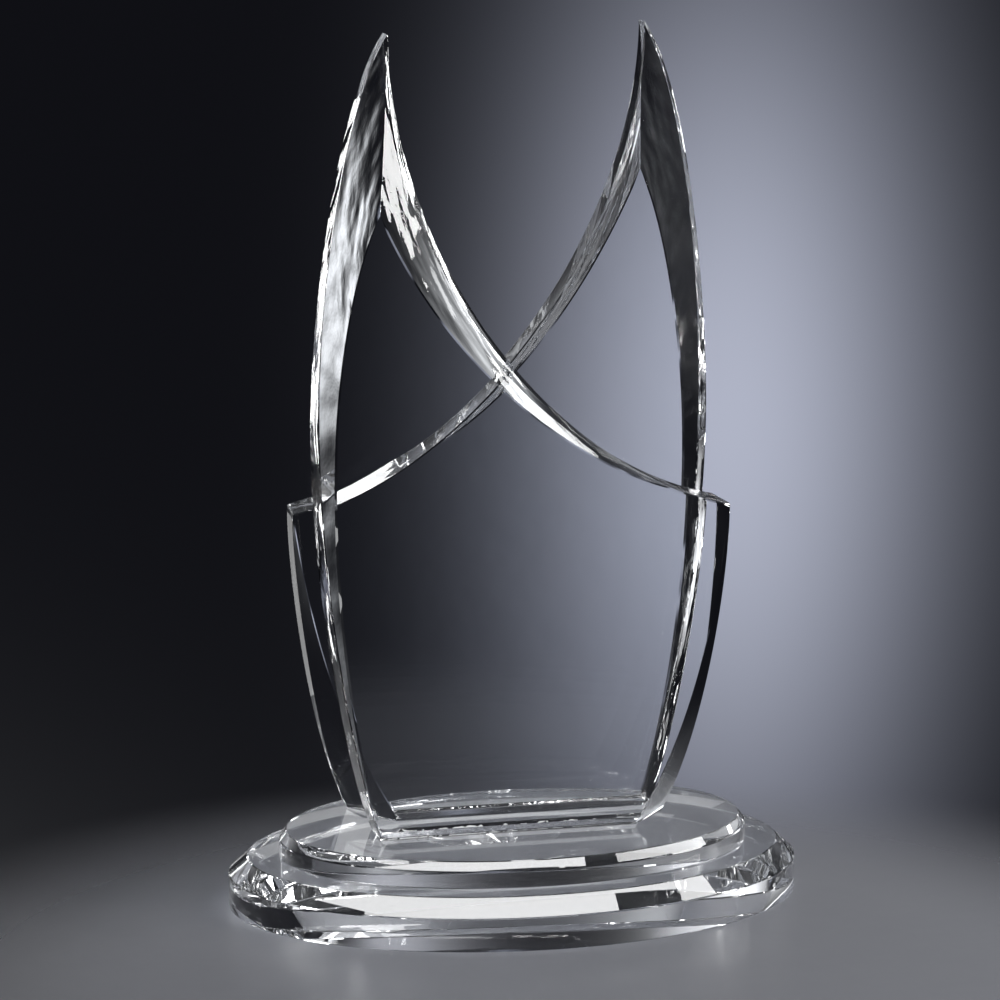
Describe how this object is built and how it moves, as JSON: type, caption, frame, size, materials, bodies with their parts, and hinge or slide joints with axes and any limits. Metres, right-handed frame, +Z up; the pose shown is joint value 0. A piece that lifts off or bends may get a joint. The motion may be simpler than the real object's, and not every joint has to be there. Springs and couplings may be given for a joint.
{
  "type": "award trophy",
  "caption": "Clear crystal award trophy: mirrored horn-shaped plates with ground facets stand one behind the other on a stepped oval base, bonded together, resting on a flat underside.",
  "frame": {"origin": "centre of the base's flat underside, on the surface the award stands on", "axes": "+Z up, +X to the right along the plates' width as seen from the front, -Y towards the viewer of the front plate"},
  "size_m": [0.19, 0.134, 0.2867],
  "materials": {
    "base_crystal": "polished colourless optical crystal, bevels and sides polished too",
    "plate_crystal": "polished colourless optical crystal with ground and polished facets",
    "clear_adhesive": "thin clear cured adhesive"
  },
  "bodies": {
    "root": {"base_lower_tier": "base_crystal", "base_upper_tier": "base_crystal", "front_plate": "plate_crystal", "rear_plate": "plate_crystal", "tier_bond": "clear_adhesive", "front_plate_bond": "clear_adhesive", "rear_plate_bond": "clear_adhesive"}
  },
  "joints": []
}
